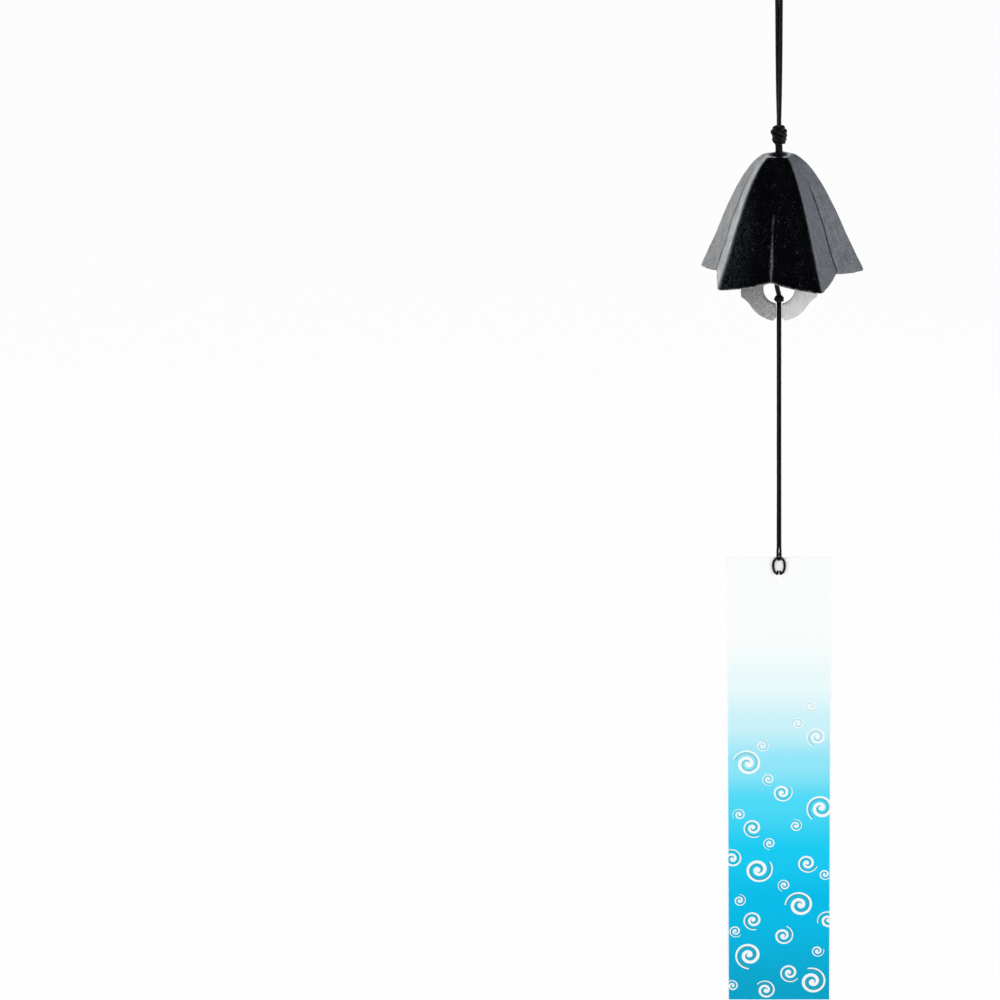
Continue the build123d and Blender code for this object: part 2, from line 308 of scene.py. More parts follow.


# %% [markdown]
# The bell is cast iron under a thin satin black. The casting's skin shows through as a fine
# orange peel with a few pits, and the shine breaks up over it. Small pale specks are painted
# where the grain would catch the light, as painted glints. Where a face turns away from the
# camera, the satin picks up the bright screens beside the bell and goes grey by itself, so the
# broad greys come from the shine. The painted light and shade that belong to one place, in the
# folds between the petals, beside the left front ridge and along the rim, come from values
# stored on the mesh.


# %% Bell iron material
def cast_black():
    material, tree, shader = new_material("bell_iron")
    place = in_millimetres(tree)
    swell = grain(tree, place, 0.22, 3)
    skin = grain(tree, place, 0.9, 4, 0.55)
    fine = grain(tree, place, 4.5, 3, 0.6)
    pits = remap(tree, grain(tree, place, 1.4, 3, 0.6), 0.36, 0.42)
    height = calc(tree, "ADD", skin, calc(tree, "MULTIPLY", fine, 0.2))
    height = calc(tree, "ADD", height, calc(tree, "MULTIPLY", pits, 0.35))
    tree.links.new(raise_bump(tree, height, 0.12 * MM, 0.5), shader.inputs["Normal"])

    colour = blend_colour(tree, swell, screen_colour(1, 2, 4), screen_colour(6, 7, 11))
    # pale specks painted where the grain would catch the light: painted glints
    grains = remap(tree, grain(tree, place, 2.6, 1), 0.70, 0.76)
    glint_patches = remap(tree, grain(tree, place, 0.3, 2), 0.42, 0.62)
    grain_glints = calc(tree, "MULTIPLY", grains, glint_patches)
    colour = blend_colour(tree, grain_glints, colour, screen_colour(126, 128, 136))
    # a streaked grey beside the left front ridge: a painted sheen
    brushed = grain(tree, in_millimetres(tree, (1, 1, 0.25)), 1.9, 4, 0.7)
    strokes = remap(tree, brushed, 0.46, 0.72)
    sheen_streaks = calc(tree, "MULTIPLY", strokes, stored(tree, "sheen_streaks"))
    colour = blend_colour(tree, sheen_streaks, colour, screen_colour(44, 54, 63))
    # a painted highlight down the front fold
    broken = remap(tree, grain(tree, place, 0.8, 4, 0.65), 0.36, 0.68)
    fold = calc(tree, "MULTIPLY", stored(tree, "fold_highlight"), broken)
    colour = blend_colour(tree, fold, colour, screen_colour(120, 123, 129))
    # a painted highlight along the rim's edge
    edge = calc(tree, "MULTIPLY", stored(tree, "rim_highlight"), 0.75)
    colour = blend_colour(tree, edge, colour, screen_colour(128, 131, 133))
    tree.links.new(colour, shader.inputs["Base Color"])

    # painted shade: the shine is taken away in the side folds and the crown's recess
    shaded = calc(tree, "MULTIPLY", stored(tree, "painted_shade"), 0.92)
    unshaded = calc(tree, "SUBTRACT", 1.0, shaded)
    whole = remap(tree, pits, 0, 1, 0.2, 1.0)
    drawn = grain(tree, in_millimetres(tree, (1, 1, 0.3)), 0.6, 4, 0.65)
    streaks = remap(tree, drawn, 0.34, 0.66, 0.34, 0.60)
    shine = calc(tree, "MULTIPLY", calc(tree, "MULTIPLY", unshaded, whole), streaks)
    tree.links.new(shine, shader.inputs["Specular IOR Level"])
    tree.links.new(remap(tree, swell, 0.3, 0.7, 0.28, 0.40), shader.inputs["Roughness"])
    shader.inputs["IOR"].default_value = 1.5
    return material


# %% [markdown]
# The clapper is bare grey casting. One half still has its rough dark skin, full of small dark
# grains, and is darkened further towards the left as painted shade. The other is worn brighter,
# with faint streaks, and part of its brightness is painted light. Both come from one pattern
# that changes over from left to right.


# %% Clapper iron material
def cast_grey():
    material, tree, shader = new_material("clapper_iron")
    place = in_millimetres(tree)
    split = tree.nodes.new("ShaderNodeSeparateXYZ")
    tree.links.new(place, split.inputs["Vector"])
    wander = calc(tree, "MULTIPLY", grain(tree, place, 0.12, 2), 6)
    side = remap(tree, calc(tree, "ADD", split.outputs["X"], wander), 1, 6, smooth=True)
    coarse = grain(tree, place, 1.1, 5, 0.65)
    sand = remap(tree, grain(tree, place, 3.0, 3, 0.6), 0.4, 0.56)
    # painted shade: the pale patches thin out towards the left
    paler = remap(tree, calc(tree, "ADD", split.outputs["X"], wander), -15, 4, 0.25, 1.0)
    streak = grain(tree, in_millimetres(tree, (1, 1, 0.3)), 1.0, 4, 0.6)
    shaded_rough_skin = blend_colour(tree, sand, screen_colour(88, 88, 89), screen_colour(150, 150, 151))
    pale = calc(tree, "MULTIPLY", remap(tree, coarse, 0.34, 0.62), paler)
    shaded_rough_skin = blend_colour(tree, pale, shaded_rough_skin, screen_colour(198, 198, 197))
    # the worn half's light grey, with faint streaks, is partly painted light
    sheen_streaks = blend_colour(tree, remap(tree, streak, 0.3, 0.7),
                          screen_colour(204, 205, 205), screen_colour(224, 225, 223))
    tree.links.new(blend_colour(tree, side, shaded_rough_skin, sheen_streaks), shader.inputs["Base Color"])
    height = calc(tree, "ADD", coarse, calc(tree, "MULTIPLY", sand, 0.4))
    height = calc(tree, "MULTIPLY", height, remap(tree, side, 0, 1, 1.0, 0.35))
    tree.links.new(raise_bump(tree, height, 0.16 * MM, 0.45), shader.inputs["Normal"])
    shader.inputs["Roughness"].default_value = 0.72
    return material


black_braid = braided_black()
black_wax = waxed_black()
black_iron = cast_black()
grey_iron = cast_grey()
print("materials:", len(bpy.data.materials))

# %% [markdown]
# Every cord starts as a smooth line. The route's few points are the control points of a NURBS
# spline, which is read back as many close points, and a skin is then laid round them. The skin
# is one closed tube: round, but raised or lowered by a surface function, which is how one tool
# makes both the braided and the waxed cord.


# %% Read a smooth line
def smooth_line(route):
    curve = bpy.data.curves.new("line", "CURVE")
    curve.dimensions = "3D"
    curve.resolution_u = 32
    spline = curve.splines.new("NURBS")
    spline.points.add(len(route) - 1)
    for point, place in zip(spline.points, route):
        point.co = (*place, 1)
    spline.order_u = 3
    spline.use_endpoint_u = True
    line = bpy.data.objects.new("line", curve)
    bpy.context.scene.collection.objects.link(line)
    mesh = bpy.data.meshes.new_from_object(line)
    points = np.array([vertex.co for vertex in mesh.vertices], float)
    bpy.data.objects.remove(line)
    bpy.data.meshes.remove(mesh)
    bpy.data.curves.remove(curve)
    return points


def evenly(points, step):
    runs = np.linalg.norm(np.diff(points, axis=0), axis=1)
    along = np.concatenate([[0], np.cumsum(runs)])
    places = np.linspace(0, along[-1], max(3, round(along[-1] / step) + 1))
    spaced = [np.interp(places, along, points[:, axis]) for axis in range(3)]
    return np.stack(spaced, axis=1), places


def directions(points):
    # The direction along the line, and two directions square to it that never twist
    along = np.gradient(points, axis=0)
    along /= np.linalg.norm(along, axis=1)[:, None]
    side = np.cross(along[0], (0, 1, 0))
    sides = []
    for direction in along:
        side = side - direction * (side @ direction)
        side /= np.linalg.norm(side)
        sides.append(side)
    sides = np.array(sides)
    return along, sides, np.cross(along, sides)


# %% Skin a line
def skin(points, places, surface, around):
    # Rings of points round the line; surface gives each one's distance from it
    _, sides, ups = directions(points)
    turns = np.arange(around) / around
    reach, across = surface(places[:, None], turns[None, :])
    angle = (2 * math.pi * turns)[None, :, None]
    ring = np.cos(angle) * sides[:, None] + np.sin(angle) * ups[:, None]
    rings = points[:, None] + reach[..., None] * ring
    faces = []
    for row in range(len(points) - 1):
        here = row * around
        above = here + around
        for column in range(around):
            after = (column + 1) % around
            faces.append((here + column, here + after, above + after, above + column))
    last = (len(points) - 1) * around
    faces.append(tuple(range(around))[::-1])
    faces.append(tuple(range(last, last + around)))
    return rings.reshape(-1, 3), faces, across.reshape(-1)


def tubes_object(name, tubes):
    vertices = []
    faces = []
    across = []
    for tube_vertices, tube_faces, tube_across in tubes:
        base = len(vertices)
        vertices.extend(tube_vertices.tolist())
        faces.extend([tuple(base + index for index in face) for face in tube_faces])
        across.extend(tube_across.tolist())
    mesh = bpy.data.meshes.new(name)
    mesh.from_pydata(vertices, [], faces)
    mesh.attributes.new("across_strand", "FLOAT", "POINT").data.foreach_set("value", across)
    mesh.update()
    obj = link_mesh(name, mesh)
    edit_all(obj, bpy.ops.mesh.normals_make_consistent, inside=False)
    bpy.ops.object.shade_smooth_by_angle(angle=math.radians(70))
    return obj


# %% [markdown]
# The braid's surface is worked out from two families of strands, one winding each way. At any
# place the higher of the two shows, and each strand rises over one crossing and dips under the
# next. The waxed cord only swells a little here and there, and not at its ends, where it meets
# a knot.


# %% Braided and waxed surfaces
BRAID = 1.9 * MM
BRAID_PITCH = 2.0 * MM
BRAID_STRANDS = 6
BRAID_LAY = 5.6 * MM
BRAID_RELIEF = 0.20 * MM
BRAID_RISE = 0.4
BRAID_STEP = 0.125 * MM
BRAID_SIDES = 48
WAX = 1.15 * MM
WAX_PITCH = 1.14 * MM
WAX_SWELL = 0.03
WAX_EVEN_END = 2 * MM
WAX_STEP = 0.25 * MM
WAX_SIDES = 20


def strand_height(across, over):
    # Round across the strand, and higher where it passes over than where it passes under
    return np.abs(np.sin(math.pi * across)) ** 0.5 * (1 - BRAID_RISE + BRAID_RISE * over)


def braid_surface(place, turn):
    rising = BRAID_STRANDS * (turn + place / BRAID_LAY)
    falling = BRAID_STRANDS * (turn - place / BRAID_LAY)
    rising_over = np.where(np.floor(rising) % 2 == 0, 1, -1) * np.sin(math.pi * falling)
    falling_over = np.where(np.floor(falling) % 2 == 0, -1, 1) * np.sin(math.pi * rising)
    rising_height = strand_height(rising, rising_over)
    falling_height = strand_height(falling, falling_over)
    height = np.maximum(rising_height, falling_height)
    across = np.where(rising_height > falling_height, rising % 1, falling % 1)
    return BRAID / 2 - BRAID_RELIEF * (1 - height), across


def wax_surface(place, turn):
    along = place / MM
    round_cord = np.cos(2 * math.pi * turn + along * 0.4)
    swell = np.sin(along * 0.9 + 2 * np.sin(along * 0.31)) * round_cord
    from_end = np.minimum(place, place.max() - place)
    swell = WAX_SWELL * swell * np.minimum(1, from_end / WAX_EVEN_END)
    return WAX / 2 * (1 + swell), turn + 0 * place


def braided_tube(points):
    spaced, places = evenly(points, BRAID_STEP)
    return skin(spaced, places, braid_surface, BRAID_SIDES)


def waxed_tube(points):
    spaced, places = evenly(points, WAX_STEP)
    return skin(spaced, places, wax_surface, WAX_SIDES)


# %% [markdown]
# The hanging cord runs up doubled from the knot, makes a loop for the hook and comes down
# again. Its two strands lie side by side near the loop and wind nearly a quarter turn round
# each other on the way down, as a hanging doubled cord does. The strands are bent softly between
# the loop and the cord below it, so that no corner opens when the bell swings. The route is
# rows of x, y and z in millimetres.


# %% Hanging loop
SEAM_Z = -12.6
loop_half = [(0.92, 0.2, SEAM_Z), (1.0, 0.15, -11.0), (3.95, 0, -6.0), (3.95, 0, 0.95)]
loop_route = [Vector((-x, y, z)) * MM for x, y, z in loop_half]
loop_route += [Vector((x, -y, z)) * MM for x, y, z in loop_half[::-1]]
loop_line = smooth_line(loop_route)
hanging_loop = tubes_object("braided_loop", [braided_tube(loop_line)])
finish_piece(hanging_loop, "loop", black_braid, ["hanging_loop"])


def line_length(points):
    return float(np.linalg.norm(np.diff(points, axis=0), axis=1).sum())


def declare_cord(obj, points):
    print(f"{obj.name}: {line_length(points) / MM:.1f} mm long")


declare_cord(hanging_loop, loop_line)

# %% Hanging cord
hanging_route = [(0.92, -0.2, SEAM_Z), (0.90, -0.28, -15), (0.85, -0.42, -20), (0.80, -0.50, -28),
                 (0.74, -0.58, -38), (0.62, -0.70, -48), (0.48, -0.80, -58), (0.28, -0.89, -66),
                 (0.16, -0.92, -71), (0.14, -0.92, -76)]
for side, name in ((-1, "left"), (1, "right")):
    route = [Vector((side * x, side * y, z)) * MM for x, y, z in hanging_route]
    line = smooth_line(route[::-1])
    strand = tubes_object(f"braided_strand_{name}", [braided_tube(line)])
    finish_piece(strand, None, black_braid, ["hanging_cord"])
    declare_cord(strand, line)
    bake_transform(strand)

# %% [markdown]
# A knot is the doubled cord wound round itself. One listed route gives the turns, as shares
# of the knot's size, so the same knot serves above the bell, inside it and on the thin cord.
# The two strands lie flat beside each other all the way round: each is moved to one side of the
# route, square to both the route and the direction out of the knot. The pair leans less than
# that direction does where it runs through the middle, or the turns would part.

# %% Knots
KNOT_SHARES = (
    (-0.10, 0.10, 0.95), (0.00, 0.10, 0.30), (0.12, 0.10, -0.45), (0.40, -0.05, -1.02),
    (0.72, -0.62, -1.00), (0.00, -1.15, -0.74), (-0.86, -0.72, -0.40), (-1.05, 0.35, -0.02),
    (0.00, 1.12, 0.18), (0.95, 0.65, 0.02), (1.25, -0.10, -0.26), (0.66, -0.98, -0.06),
    (-0.26, -1.22, 0.34), (-1.00, -0.70, 0.70), (-1.12, 0.25, 0.88), (-0.10, 1.10, 0.92),
    (0.88, 0.70, 0.92), (1.06, -0.25, 0.86), (0.52, -0.80, 0.60), (0.10, -0.30, 0.10),
    (-0.15, -0.10, -0.60), (-0.12, 0.00, -1.05),
)
KNOT_LEAN = 0.65
KNOT_CORE = 0.7
KNOT_MIDDLE = 0.1
KNOT_SMOOTHING = 8


def knot_lines(low, high, strand, pitch, slim=1.0):
    centre = (low + high) / 2
    half = (high - low) / 2
    reach = Vector((half.x - strand / 2, half.y - strand / 2, half.z - (strand + pitch) / 2))
    reach.x *= slim
    reach.y *= slim
    route = []
    for across, depth, height in KNOT_SHARES:
        route.append(centre + Vector((across * reach.x, depth * reach.y, height * reach.z)))
    middle, _ = evenly(smooth_line(route), strand / 8)
    along = np.gradient(middle, axis=0)
    out = (middle - np.array(centre)) / np.array(reach)
    from_axis = np.hypot(out[:, 0], out[:, 1])
    out[:, 1] -= KNOT_MIDDLE
    out[:, 2] *= KNOT_LEAN * np.minimum(1, from_axis / KNOT_CORE)
    flat = np.cross(along, out)
    flat /= np.linalg.norm(flat, axis=1)[:, None]
    for index in range(1, len(flat)):
        if flat[index] @ flat[index - 1] < 0:
            flat[index] *= -1
    window = np.hanning(2 * KNOT_SMOOTHING + 1)
    padded = np.pad(flat, ((KNOT_SMOOTHING, KNOT_SMOOTHING), (0, 0)), "edge")
    smooth = [np.convolve(padded[:, axis], window, "valid") for axis in range(3)]
    smooth = np.stack(smooth, axis=1)
    smooth /= np.linalg.norm(smooth, axis=1)[:, None]
    return [middle + side * pitch / 2 * smooth for side in (-1, 1)]


hanging_knot_lines = knot_lines(knot_low, knot_high, BRAID, BRAID_PITCH, slim=0.78)
hanging_knot = tubes_object("knot_over_bell", [braided_tube(line) for line in hanging_knot_lines])
finish_piece(hanging_knot, "knot_above_bell", black_braid, ["hanging_knot"])

stop_knot_lines = knot_lines(stop_low, stop_high, BRAID, BRAID_PITCH)
stop_knot = tubes_object("knot_in_bell", [braided_tube(line) for line in stop_knot_lines])
finish_piece(stop_knot, "stop_knot", black_braid, ["crown_knot"])

slit_knot_lines = knot_lines(slit_low, slit_high, WAX, WAX_PITCH)
slit_knot = tubes_object("knot_over_slit", [waxed_tube(line) for line in slit_knot_lines])
finish_piece(slit_knot, "knot_above_slit", black_wax, ["slit_knot"])

# %% [markdown]
# Between the knot above the bell and the stop knot inside it, the doubled cord passes through
# the hole in the crown. Only a few millimetres of it show. Each strand first follows the last
# points of its own strand in the knot, so that no cut end stands out below the knot.

# %% Cord through the crown
NECK_IN_KNOT = 60
neck_top = knot_low.z + 0.2 * MM
neck_bottom = stop_high.z - 1.5 * MM
neck_tubes = []
knot_ends = [line[-NECK_IN_KNOT:].tolist() for line in hanging_knot_lines]
knot_ends.sort(key=lambda end: end[-1][0])
for side, end in zip((-1, 1), knot_ends):
    heights = np.linspace(neck_top, neck_bottom, 4)
    offsets = ((0.74, -0.55), (0.80, -0.45), (0.86, -0.30), (0.90, -0.10))
    route = [end[0], end[NECK_IN_KNOT // 2], end[-1]]
    route += [(side * x * MM, side * y * MM, z) for (x, y), z in zip(offsets, heights)]
    neck_tubes.append(braided_tube(smooth_line(route)))
neck = tubes_object("braided_neck", neck_tubes)
finish_piece(neck, "cord_in_crown", black_braid, ["neck_cord"])

# %% [markdown]
# From the stop knot a thinner, waxed cord hangs the clapper. It is doubled too, goes through
# the hole at the clapper's top in two turns and is closed there by a small knot.

# %% Clapper's cord
clapper_cord_top = stop_low.z + 1.2 * MM
clapper_cord_bottom = clapper_hitch_high.z - 1.2 * MM
for side, name in ((-1, "left"), (1, "right")):
    heights = np.linspace(clapper_cord_top, clapper_cord_bottom, 6)
    bows = (0, 0.1, -0.05, -0.1, 0.08, 0)
    route = [Vector((side * WAX_PITCH / 2, bow * MM, z)) for bow, z in zip(bows, heights)]
    line = smooth_line(route)
    strand = tubes_object(f"clapper_strand_{name}", [waxed_tube(line)])
    finish_piece(strand, "cord_in_bell", black_wax, ["clapper_cord"])
    declare_cord(strand, line)

# %% Clapper's hitch
HITCH_KNOT = 3.4 * MM
hitch_knot_low = Vector((clapper_hitch_low.x, -HITCH_KNOT / 2, clapper_hitch_high.z - HITCH_KNOT))
hitch_knot_high = Vector((clapper_hitch_high.x, HITCH_KNOT / 2, clapper_hitch_high.z))
turn_low_z = clapper_hitch_low.z + WAX / 2
turn_high_z = clapper_high.z + 0.1 * MM + WAX / 2
turn_y = clapper_hitch_high.y - WAX / 2
turn_lines = []
for side in (-1, 1):
    x = side * WAX_PITCH / 2
    below_top_z = turn_high_z - (turn_high_z - turn_low_z) / 3
    meeting = (x * 0.6, 0, turn_high_z + 0.5 * MM)
    route = [meeting, (x, turn_y, turn_high_z + 0.3 * MM), (x, turn_y, below_top_z),
             (x, turn_y, turn_low_z), (x, 0, turn_low_z - 0.2 * MM), (x, -turn_y, turn_low_z),
             (x, -turn_y, below_top_z), (x, -turn_y, turn_high_z + 0.3 * MM), meeting]
    turn_lines.append(smooth_line(route))
turn_lines += knot_lines(hitch_knot_low, hitch_knot_high, WAX, WAX_PITCH)
clapper_hitch = tubes_object("hitch_on_clapper", [waxed_tube(line) for line in turn_lines])
finish_piece(clapper_hitch, "clapper", black_wax, ["clapper_hitch"])

# %% [markdown]
# Inside the ring the cord hangs slack, because the tag's weight sits on the knot above the
# slit and not on this stretch. It comes down in front of the ring, leaning left, and turns in
# over the knot.

# %% Slack cord in the window
WINDOW_RADIUS = 7.2 * MM
SLACK_FRONT = 2.85 * MM
window_top = (clapper_low.z + clapper_high.z) / 2 + WINDOW_RADIUS
window_drop = window_top - slit_high.z - 0.4 * MM
window_shares = ((0.03, 1.0, -0.15), (-0.07, 1.0, 0.18), (-0.15, 0.66, 0.48),
                 (-0.10, 0.26, 0.73), (0.0, 0.0, 1.0), (0.0, 0.0, 1.15))
window_tubes = []
for side in (-1, 1):
    route = []
    for across, front, drop in window_shares:
        x = across * WINDOW_RADIUS + side * WAX_PITCH / 2
        route.append((x, -front * SLACK_FRONT, window_top - drop * window_drop))
    window_tubes.append(waxed_tube(smooth_line(route)))
window_cord = tubes_object("slack_cord", window_tubes)
finish_piece(window_cord, "clapper", black_wax, ["window_cord"])

# %% [markdown]
# Below the slit the same cord runs straight down to the tag. It is nearly straight but not
# quite: each strand wanders a little, and the two touch and part. The strands bend softly at
# the slit, where the tag's swing begins.

# %% Tag's cord
hitch_seam_z = hitch_high.z + 2.4 * MM
strand_top_z = (slit_low.z + slit_high.z) / 2
wander = ((0.57, 0.0, 0.0), (0.57, 0.02, 0.05), (0.55, 0.12, 0.12), (0.53, 0.20, 0.22),
          (0.54, 0.14, 0.34), (0.52, 0.22, 0.46), (0.55, 0.12, 0.58), (0.53, 0.20, 0.70),
          (0.54, 0.16, 0.82), (0.56, 0.08, 0.92), (0.57, 0.0, 1.0))
for side, name in ((-1, "left"), (1, "right")):
    route = []
    for x, y, share in wander:
        z = strand_top_z + (hitch_seam_z - strand_top_z) * share
        route.append((side * x * MM, side * y * MM, z))
    line = smooth_line(route)
    strand = tubes_object(f"tag_strand_{name}", [waxed_tube(line)])
    finish_piece(strand, None, black_wax, ["slit_cord", "tag_cord"])
    declare_cord(strand, line)
    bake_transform(strand)

# %% [markdown]
# The tag hangs in a lark's head. Both strands come down over the paper's front, part into a
# small oval and go in through the hole. Behind the paper they run up again as the closed end of
# the cord, which folds over the top edge and holds the strands down just below it.

# %% Tag's hitch
PAPER_HALF = 0.2
OFF_PAPER = 0.15
HOLE_DROP = 8.9
top = tag_high.z / MM
face_y = PAPER_HALF + WAX / 2 / MM + OFF_PAPER
hole_z = top - HOLE_DROP
hitch_half = [(0.57, 0, hitch_seam_z / MM), (0.57, 0, top + 4.6), (0.74, -0.2, top + 3.0),
              (0.52, -0.75, top + 1.3), (0.85, -face_y, top - 0.2), (2.35, -face_y, top - 1.3),
              (2.85, -face_y, top - 4.0), (2.3, -face_y, top - 6.9), (0.72, -face_y, top - 8.3),
              (0.62, -0.1, hole_z + 1.0), (0.62, face_y, hole_z + 1.6), (0.66, face_y, top - 3.0),
              (0.75, face_y, top + 0.3), (0.80, 0.2, top + 1.75), (0.70, -face_y - 0.5, top + 1.55),
              (0.62, -face_y - 1.15, top + 0.2), (0.30, -face_y - 1.0, top - 0.75)]
hitch_route = [(-x * MM, y * MM, z * MM) for x, y, z in hitch_half]
hitch_route += [(x * MM, y * MM, z * MM) for x, y, z in hitch_half[::-1]]
hitch_line = smooth_line(hitch_route)
tag_hitch = tubes_object("hitch_on_tag", [waxed_tube(hitch_line)])
finish_piece(tag_hitch, None, black_wax, ["tag_hitch"])
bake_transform(tag_hitch)

# %% [markdown]
# A sand casting has no sharp edge and no truly flat face. The bell starts as a copy of its
# engineering mesh. A voxel remesh turns it into even small faces, smoothing rounds the rim and
# the crease lines as the mould does, and a slow wave of a tenth of a millimetre takes the
# machine-made look away. The bell's rim gets more smoothing than the rest, because there the
# small faces would show as steps.


# %% Casting tools
def cast_from(node_name, name, voxel, rounds):
    obj = merged_copy(node_name, name)
    apply_modifier(obj, "REMESH", mode="VOXEL", voxel_size=voxel, adaptivity=0.0)
    apply_modifier(obj, "SMOOTH", factor=0.5, iterations=rounds)
    bpy.ops.object.shade_smooth()
    return obj


def wave(obj, scale, height):
    # Moves each point along its normal by a slow noise; the normals are read before any moves
    normals = [vertex.normal.copy() for vertex in obj.data.vertices]
    for vertex, normal in zip(obj.data.vertices, normals):
        vertex.co += normal * noise.noise(vertex.co * (scale / MM)) * height


# %% Bell
RIM_REACH = 10.0
RIM_FADE = 3.0
bell = cast_from("bell", "cast_bell", voxel=0.55 * MM, rounds=2)
rim = bell.vertex_groups.new(name="rim")
for vertex in bell.data.vertices:
    above = (vertex.co.z - bell_low.z) / MM
    rim.add([vertex.index], min(1.0, max(0.0, (RIM_REACH - above) / RIM_FADE)), "REPLACE")
apply_modifier(bell, "SMOOTH", factor=0.5, iterations=7, vertex_group="rim")
wave(bell, scale=0.12, height=0.18 * MM)

# %% [markdown]
# The bell's folds and edges get painted light and shade of their own: in the folds at the sides
# and the recess in the crown the shine is taken away as painted shade, a painted highlight runs
# down the front fold and along the rim's edge, and a streaked painted sheen lies beside the left
# front ridge. Each is a value from 0 to 1 on the mesh, found from how far a point is from the
# fold, the rim or the crown. The painted highlight in the front fold widens on its way down and
# narrows again at the rim.

# %% Mark the bell's folds and edges
PETAL = 72.0
FRONT_FOLD = -7.4
FOLD_TOP = 0.42
LEFT_SHADOW = 1.7 * MM
RIGHT_SHADOW = 1.0 * MM
fold_top_z = bell_high.z - FOLD_TOP * (bell_high.z - bell_low.z)


def ramp(values, start, end):
    # Rises smoothly from 0 at the start value to 1 at the end value
    share = np.clip((values - start) / (end - start), 0, 1)
    return share * share * (3 - 2 * share)


def mark(obj, name, values):
    attribute = obj.data.attributes.new(name, "FLOAT", "POINT")
    attribute.data.foreach_set("value", values.astype(np.float32))


def mark_bell(obj):
    count = len(obj.data.vertices)
    places = np.zeros(count * 3)
    normals = np.zeros(count * 3)
    obj.data.vertices.foreach_get("co", places)
    obj.data.vertex_normals.foreach_get("vector", normals)
    x, y, z = places.reshape(-1, 3).T
    nx, ny, nz = normals.reshape(-1, 3).T
    turn = np.degrees(np.arctan2(x, -y))
    reach = np.hypot(x, y)
    over_rim = (z - bell_low.z) / MM
    under_crown = (bell_high.z - z) / MM
    outside = (x * nx + y * ny > 0).astype(float)
    from_front = (turn - FRONT_FOLD + 180) % 360 - 180
    from_fold = (from_front + PETAL / 2) % PETAL - PETAL / 2
    gap = reach * np.sin(np.radians(np.abs(from_fold)))
    front = (np.abs(from_front) < PETAL / 2).astype(float)
    # the painted highlight down the front fold
    down = ramp(z, fold_top_z, bell_low.z + 3 * MM)
    half = (0.24 + 0.5 * down * ramp(over_rim, 4, 12)) * MM
    line = front * (down > 0) * ramp(gap, half * 1.5, half * 0.6) * (0.35 + 0.65 * down)
    mark(obj, "fold_highlight", outside * line)
    # painted shade in the side folds and in the crown's recess
    shadow = np.where(from_front < 0, LEFT_SHADOW, RIGHT_SHADOW)
    in_fold = (1 - front) * ramp(under_crown, 6, 20) * ramp(gap, shadow, 0.4 * shadow)
    in_crown = ramp(under_crown, 9, 6) * ramp(reach / MM, 4.6, 3.8)
    mark(obj, "painted_shade", np.maximum(outside * in_fold, in_crown))
    # painted highlight along the rim's edge
    mark(obj, "rim_highlight", outside * ramp(nz, 0.10, -0.30) * ramp(over_rim, 9, 6))
    # painted sheen beside the left front ridge
    beside_ridge = front * ramp(from_front, -14, -34) * ramp(under_crown, 12, 34)
    mark(obj, "sheen_streaks", outside * beside_ridge)


mark_bell(bell)
finish_piece(bell, "bell", black_iron, ["bell"])

# %% Clapper
clapper = cast_from("clapper", "cast_clapper", voxel=0.28 * MM, rounds=4)
wave(clapper, scale=0.35, height=0.10 * MM)
finish_piece(clapper, "clapper", grey_iron, ["clapper"])

# %% [markdown]
# The tag is a strip of stiff paper, white at the top and running into blue below, with a white
# margin and small white whirls that look brushed on. A whirl is one line of thinking in polar
# coordinates: the stroke's distance from the centre grows with each turn, and the stroke thins
# out towards its end. Beside it lies a darker shade, as where the brush was wet. That is a node
# group, placed once for each whirl, so the print stays sharp at any size.

# %% Whirl node group
WHIRL_TURNS = 2.0


def whirl_group():
    tree = bpy.data.node_groups.new("brushed_whirl", "ShaderNodeTree")
    for name in ("Across", "Up", "Centre Across", "Centre Up", "Radius", "Turn"):
        tree.interface.new_socket(name, in_out="INPUT", socket_type="NodeSocketFloat")
    for name in ("Stroke", "Shade"):
        tree.interface.new_socket(name, in_out="OUTPUT", socket_type="NodeSocketFloat")
    given = tree.nodes.new("NodeGroupInput").outputs
    result = tree.nodes.new("NodeGroupOutput").inputs
    x = calc(tree, "SUBTRACT", given["Across"], given["Centre Across"])
    z = calc(tree, "SUBTRACT", given["Up"], given["Centre Up"])
    squares = calc(tree, "ADD", calc(tree, "MULTIPLY", x, x), calc(tree, "MULTIPLY", z, z))
    pitch = calc(tree, "DIVIDE", given["Radius"], WHIRL_TURNS)
    reach = calc(tree, "DIVIDE", calc(tree, "SQRT", squares), pitch)
    angle = calc(tree, "DIVIDE", calc(tree, "ARCTAN2", z, x), 2 * math.pi)
    angle = calc(tree, "ADD", angle, given["Turn"])
    turn = calc(tree, "ADD", calc(tree, "ROUND", calc(tree, "SUBTRACT", reach, angle)), angle)
    off = calc(tree, "SUBTRACT", reach, turn)
    away = calc(tree, "ABSOLUTE", off)
    half_width = remap(tree, turn, 1.1, WHIRL_TURNS, 0.24, 0.09)
    edge = calc(tree, "SUBTRACT", half_width, away)
    inside_ends = calc(tree, "MULTIPLY", calc(tree, "LESS_THAN", turn, WHIRL_TURNS),
                       calc(tree, "GREATER_THAN", turn, 0.0))
    stroke = calc(tree, "MULTIPLY", remap(tree, edge, -0.02, 0.04, smooth=True), inside_ends)
    core = remap(tree, reach, 0.34, 0.28, smooth=True)
    tree.links.new(calc(tree, "MAXIMUM", stroke, core), result["Stroke"])
    inner = remap(tree, calc(tree, "ADD", off, half_width), -0.55, 0.0, smooth=True)
    under = calc(tree, "MULTIPLY", inner, calc(tree, "LESS_THAN", off, 0.0))
    tree.links.new(calc(tree, "MULTIPLY", under, inside_ends), result["Shade"])
    return tree


# %% [markdown]
# The whirls drift down the lower two thirds in loose strings: a few large ones, some middle
# ones beside them, and small ones trailing off. Each row gives a place across and down the tag
# as shares, the size, and how far the whirl is turned.

